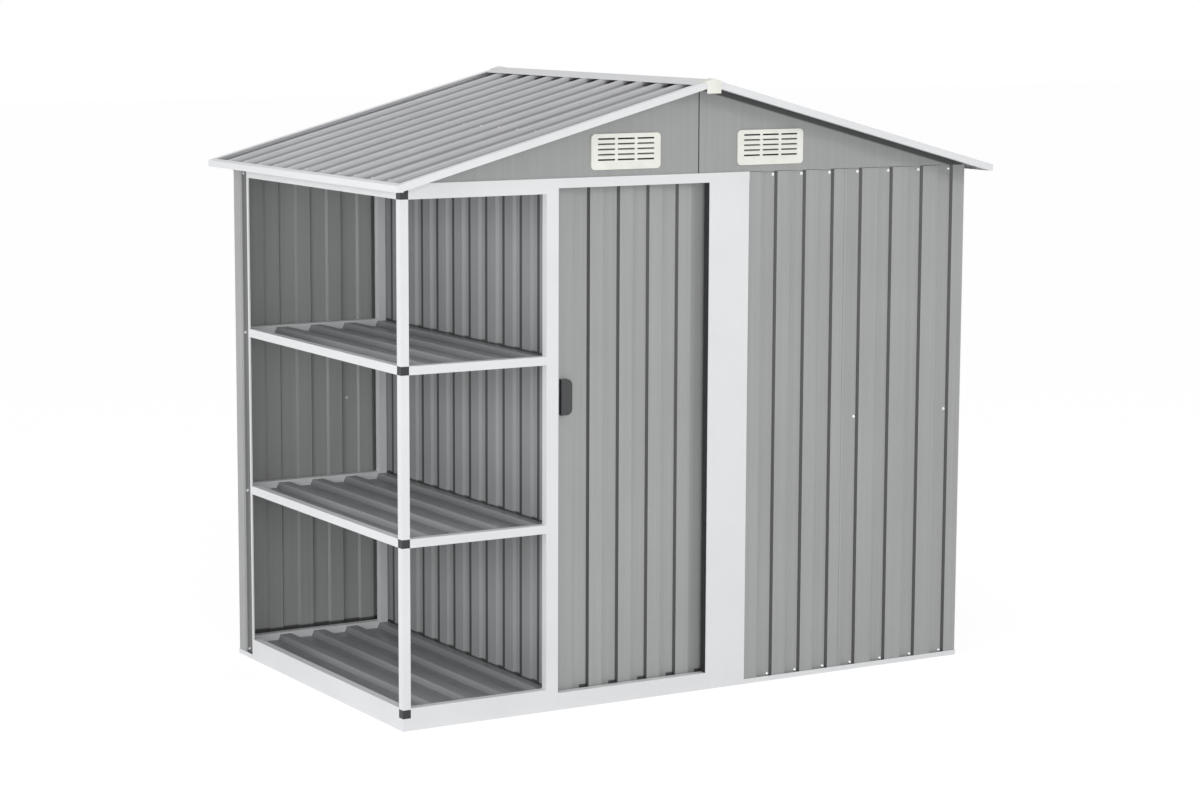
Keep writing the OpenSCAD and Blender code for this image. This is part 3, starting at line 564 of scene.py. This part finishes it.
class SHED_OT_paint(ShedOperator):
    """Makes the finishes and puts them on every piece of the frame"""

    bl_idname = "shed.paint"
    bl_label = "Paint the frame"

    def execute(self, context):
        tints = context.scene.shed_finishes
        # Painted shade and light: shares on the away flank, on the other flank and in the painted shade mask
        shares = (tints.flank, tints.lit, tints.painted_shade)
        corner_shares = (tints.flank, CORNER_LIT, CORNER_DARK)
        sheet_paint_light_and_shade("grey_paint", tints.grey, TO_LEFT, shares, WALL_ROUGH)
        sheet_paint_light_and_shade("side_paint", tints.grey, TO_FRONT, shares, WALL_ROUGH)
        sheet_paint_light_and_shade("rear_paint", tints.grey, TO_RIGHT, shares, WALL_ROUGH, painted_shade=rear_painted_shade)
        sheet_paint_light_and_shade("divider_paint", tints.divider, TO_REAR, shares, WALL_ROUGH, painted_shade=divider_painted_shade)
        sheet_paint_light_and_shade("gable_paint", tints.gable, TO_LEFT, shares, WALL_ROUGH, painted_shade=gable_painted_shadow)
        sheet_paint_light_and_shade("door_paint", tints.grey, TO_LEFT, shares, WALL_ROUGH, painted_shade=door_painted_shade)
        sheet_paint_light_and_shade("corner_paint", tints.grey, TO_REAR, corner_shares, WALL_ROUGH, painted_shade=corner_painted_shade)
        sheet_paint_light_and_shade("roof_paint", tints.roof, TO_REAR, ROOF_SHARES, WALL_ROUGH, X, roof_painted_shade)
        sheet_paint_light_and_shade("shelf_paint", tints.shelf, TO_LEFT, SHELF_SHARES, SHELF_ROUGH, Y, shelf_painted_shade)
        sheet_paint_light_and_shade("floor_paint", tints.rack_floor, TO_LEFT, FLOOR_SHARES, SHELF_ROUGH, Y, shelf_painted_shade)
        frame_paint("white_paint", tints.white, WHITE_ROUGH)
        zinc("screw_zinc", tints.zinc, ZINC_ROUGH)
        moulding("cream_moulding", tints.cream, CREAM_ROUGH, CREAM_GRAIN)
        moulding("vent_moulding", tints.cream, CREAM_ROUGH, CREAM_GRAIN, vent_painted_shade)
        moulding("black_moulding", tints.black, BLACK_ROUGH, BLACK_GRAIN)
        moulding("handle_moulding", tints.handle, BLACK_ROUGH, BLACK_GRAIN)
        slots = {row["node"]: row["material_slot"] for row in frame["record"]["subparts"]}
        for node, piece in frame["nodes"].items():
            piece.data.materials.clear()
            finish = NODE_FINISH.get(node, SLOT_FINISH[slots[node]])
            piece.data.materials.append(bpy.data.materials[finish])
        return {"FINISHED"}


class SHED_OT_wall_screws(ShedOperator):
    """Screws in the grooves of the three outer walls, with stitch screws at the laps"""

    bl_idname = "shed.wall_screws"
    bl_label = "Wall screws"

    def execute(self, context):
        sizes = context.scene.shed_screws
        rows = (sizes.foot_z, WALL_H - sizes.row_in)
        walls = {
            "front_wall": (
                (LEFT + FRONT_WALL_X, FRONT + WALL_IN, 0), TO_RIGHT, TO_REAR, FRONT_GROOVES, FRONT_LAPS,
            ),
            "right_wall": (
                (RIGHT - WALL_IN, FRONT + RIGHT_WALL_START, 0), TO_REAR, TO_LEFT, RIGHT_GROOVES, RIGHT_LAPS,
            ),
            "rear_wall": (
                (RIGHT - WALL_IN, REAR - WALL_IN, 0), TO_LEFT, TO_FRONT, REAR_GROOVES, REAR_LAPS,
            ),
        }
        for name, (origin, along, inward, centres, laps) in walls.items():
            seats, line = wall_seats(origin, along, inward, centres + sizes.aside, laps, rows)
            stitch = line[[*laps, -1]] + [0, 0, sizes.stitch_z]
            seats = np.concatenate([seats, stitch])
            normals = np.tile(-np.asarray(inward, float), (len(seats), 1))
            screw_set(name + "_screws", seats, normals, "shed", sizes)
        return {"FINISHED"}


class SHED_OT_roof_screws(ShedOperator):
    """Screws in the roof's valleys along the eaves and over the purlins"""

    bl_idname = "shed.roof_screws"
    bl_label = "Roof screws"

    def execute(self, context):
        sizes = context.scene.shed_screws
        valleys = (RIB_LINES[1:] + RIB_LINES[:-1]) / 2
        middle_sheet = (valleys > FIRST_ROOF_LAP) & (valleys < LAST_ROOF_LAP)
        rise = SHEET_T + np.where(middle_sheet, LAP_STEP, 0.0)
        run = (RIGHT + EAVE_OVER) / math.cos(ROOF_PITCH)
        stations = np.array([EAVE_SCREWS, run / 2 + PURLIN_ASIDE])
        s, y = np.meshgrid(stations, valleys, indexing="ij")
        n = np.broadcast_to(rise, s.shape)
        eave_z = WALL_H - EAVE_OVER * math.tan(ROOF_PITCH)
        cos, sin = math.cos(ROOF_PITCH), math.sin(ROOF_PITCH)
        for name, side in (("left_roof", 1.0), ("right_roof", -1.0)):
            x = side * (LEFT - EAVE_OVER + s * cos - n * sin)
            seats = np.stack([x, y, eave_z + s * sin + n * cos], -1).reshape(-1, 3)
            normals = np.tile([-side * sin, 0.0, cos], (len(seats), 1))
            screw_set(name + "_screws", seats, normals, "shed", sizes)
        return {"FINISHED"}


class SHED_OT_rack_screws(ShedOperator):
    """Screws on the folded rear left corner, one beside each rack level"""

    bl_idname = "shed.rack_screws"
    bl_label = "Rack screws"

    def execute(self, context):
        sizes = context.scene.shed_screws
        seats = [(LEFT + WALL_IN + GROOVE_D, REAR - CORNER_SCREW_IN, z) for z in CORNER_SCREW_Z]
        screw_set("corner_screws", seats, [TO_LEFT] * len(seats), "shed", sizes)
        nut = [(LEFT + NUT_X, REAR - WALL_IN - LAP_STEP - SHEET_T, sizes.stitch_z)]
        screw_set("rear_wall_nut", nut, [TO_FRONT], "shed", sizes, "white_paint")
        return {"FINISHED"}


class SHED_OT_seals(ShedOperator):
    """A black seal along the doorway's right edge and the sealed seam of each gable"""

    bl_idname = "shed.seals"
    bl_label = "Seals"

    def execute(self, context):
        fit, seal_t, seam_w, seam_t = 0.0002, 0.0016, 0.0034, 0.0008
        edge = LEFT + DOORWAY_END - fit - seal_t / 2
        middle = FRONT + JAMB_FOLD / 2
        bar(
            "doorway_seal", ((edge, middle), (seal_t / 2, JAMB_FOLD / 2)), THRESHOLD_H + fit,
            WALL_H - BEAM_H - fit, "black_plastic",
        )
        for name, side in (("front_gable_seam", -1.0), ("rear_gable_seam", 1.0)):
            face = side * (REAR - WALL_IN + seam_t / 2)
            bar(name, ((0.0, face), (seam_w / 2, seam_t / 2)), WALL_H + fit, RIDGE_Z - fit, "black_plastic")
        return {"FINISHED"}


class SHED_OT_stage(ShedOperator):
    """Floor, even studio light and the camera at the photograph's angle"""

    bl_idname = "shed.stage"
    bl_label = "Studio stage"

    def execute(self, context):
        settings = context.scene.shed_stage
        self.sky(context.scene, settings.sky)
        self.floor(settings)
        for name, place, size, power in LAMPS:
            self.lamp(name, place, LAMP_TARGET, size, getattr(settings, power))
        self.camera(context.scene, settings.lens)
        context.scene.view_settings.view_transform = "Standard"
        return {"FINISHED"}

    @staticmethod
    def seen(tree):
        """1 for rays that should find the white background: camera, glossy and transmission rays."""
        path = tree.nodes.new("ShaderNodeLightPath")
        total = path.outputs["Is Camera Ray"]
        for kind in ("Is Glossy Ray", "Is Transmission Ray"):
            node = tree.nodes.new("ShaderNodeMath")
            node.operation = "MAXIMUM"
            tree.links.new(total, node.inputs[0])
            tree.links.new(path.outputs[kind], node.inputs[1])
            total = node.outputs[0]
        return total

    def sky(self, scene, level):
        """An even white sky that the camera sees as plain white."""
        world = bpy.data.worlds.new("studio_sky")
        world.use_nodes = True
        scene.world = world
        tree = world.node_tree
        light = tree.nodes["Background"]
        light.inputs["Color"].default_value = (1, 1, 1, 1)
        light.inputs["Strength"].default_value = level
        white = tree.nodes.new("ShaderNodeBackground")
        white.inputs["Color"].default_value = (1, 1, 1, 1)
        mix = tree.nodes.new("ShaderNodeMixShader")
        tree.links.new(self.seen(tree), mix.inputs["Fac"])
        tree.links.new(light.outputs[0], mix.inputs[1])
        tree.links.new(white.outputs[0], mix.inputs[2])
        tree.links.new(mix.outputs[0], tree.nodes["World Output"].inputs["Surface"])

    def floor(self, settings):
        """A wide plain floor that keeps a pale shadow."""
        half = FLOOR_HALF
        mesh = bpy.data.meshes.new("studio_floor")
        corners = [(-half, -half, 0), (half, -half, 0), (half, half, 0), (-half, half, 0)]
        mesh.from_pydata(corners, [], [(0, 1, 2, 3)])
        piece = bpy.data.objects.new("studio_floor", mesh)
        bpy.context.scene.collection.objects.link(piece)
        material = bpy.data.materials.new("floor_white")
        material.use_nodes = True
        tree = material.node_tree
        shader = tree.nodes["Principled BSDF"]
        shader.inputs["Base Color"].default_value = (*settings.floor, 1)
        shader.inputs["Roughness"].default_value = FLOOR_ROUGH
        shader.inputs["Specular IOR Level"].default_value = FLOOR_SHEEN
        glow = tree.nodes.new("ShaderNodeEmission")
        glow.inputs["Strength"].default_value = FLOOR_GLOW
        mix = tree.nodes.new("ShaderNodeMixShader")
        share = tree.nodes.new("ShaderNodeMath")
        share.operation = "MULTIPLY"
        share.inputs[1].default_value = GLOW_SHARE
        tree.links.new(self.seen(tree), share.inputs[0])
        tree.links.new(share.outputs[0], mix.inputs["Fac"])
        tree.links.new(shader.outputs[0], mix.inputs[1])
        tree.links.new(glow.outputs[0], mix.inputs[2])
        tree.links.new(mix.outputs[0], tree.nodes["Material Output"].inputs["Surface"])
        mesh.materials.append(material)

    @staticmethod
    def lamp(name, place, target, size, power):
        """A large soft lamp that looks at the target."""
        data = bpy.data.lights.new(name, "AREA")
        data.shape = "RECTANGLE"
        data.size, data.size_y = size
        data.energy = power
        piece = bpy.data.objects.new(name, data)
        piece.location = place
        piece.rotation_euler = (target - piece.location).to_track_quat("-Z", "Y").to_euler()
        bpy.context.scene.collection.objects.link(piece)

    @staticmethod
    def camera(scene, lens):
        """The camera found from the photograph's edges: place, turn, tilt and roll."""
        yaw, tilt, roll = CAMERA_YAW, CAMERA_TILT, CAMERA_ROLL
        ahead = Vector((math.sin(yaw) * math.cos(tilt), math.cos(yaw) * math.cos(tilt), -math.sin(tilt)))
        side = Vector((math.cos(yaw), -math.sin(yaw), 0))
        up = side.cross(ahead)
        side, up = (
            math.cos(roll) * side + math.sin(roll) * up,
            math.cos(roll) * up - math.sin(roll) * side,
        )
        data = bpy.data.cameras.new("photo_camera")
        data.sensor_width = SENSOR_W
        data.lens = lens
        data.clip_end = CLIP_END
        piece = bpy.data.objects.new("photo_camera", data)
        turn = Matrix((side, up, -ahead)).transposed().to_4x4()
        piece.matrix_world = Matrix.Translation(CAMERA_PLACE) @ turn
        scene.collection.objects.link(piece)
        scene.camera = piece


class SHED_PT_panel(bpy.types.Panel):
    """The shed's settings and steps"""

    bl_idname = "SHED_PT_panel"
    bl_label = "Metal shed"
    bl_space_type = "VIEW_3D"
    bl_region_type = "UI"
    bl_category = "Shed"

    def draw(self, context):
        for group in ("shed_finishes", "shed_screws", "shed_stage"):
            settings = getattr(context.scene, group)
            box = self.layout.box()
            for key in settings.bl_rna.properties.keys():
                if key not in ("rna_type", "name"):
                    box.prop(settings, key)
        for step in STEPS:
            self.layout.operator(step.bl_idname)


GROUPS = {"shed_finishes": ShedFinishes, "shed_screws": ShedScrews, "shed_stage": ShedStage}
STEPS = (
    SHED_OT_paint, SHED_OT_wall_screws, SHED_OT_roof_screws,
    SHED_OT_rack_screws, SHED_OT_seals, SHED_OT_stage,
)


def register():
    """Registers the settings, the operators and the panel."""
    for name, group in GROUPS.items():
        bpy.utils.register_class(group)
        setattr(bpy.types.Scene, name, bpy.props.PointerProperty(type=group))
    for cls in (*STEPS, SHED_PT_panel):
        bpy.utils.register_class(cls)


def unregister():
    """Takes everything away again."""
    for cls in (SHED_PT_panel, *reversed(STEPS)):
        bpy.utils.unregister_class(cls)
    for name, group in GROUPS.items():
        delattr(bpy.types.Scene, name)
        bpy.utils.unregister_class(group)


def main():
    register()
    bpy.ops.shed.paint()
    bpy.ops.shed.wall_screws()
    bpy.ops.shed.roof_screws()
    bpy.ops.shed.rack_screws()
    bpy.ops.shed.seals()
    bpy.ops.shed.stage()


if __name__ == "__main__":
    main()
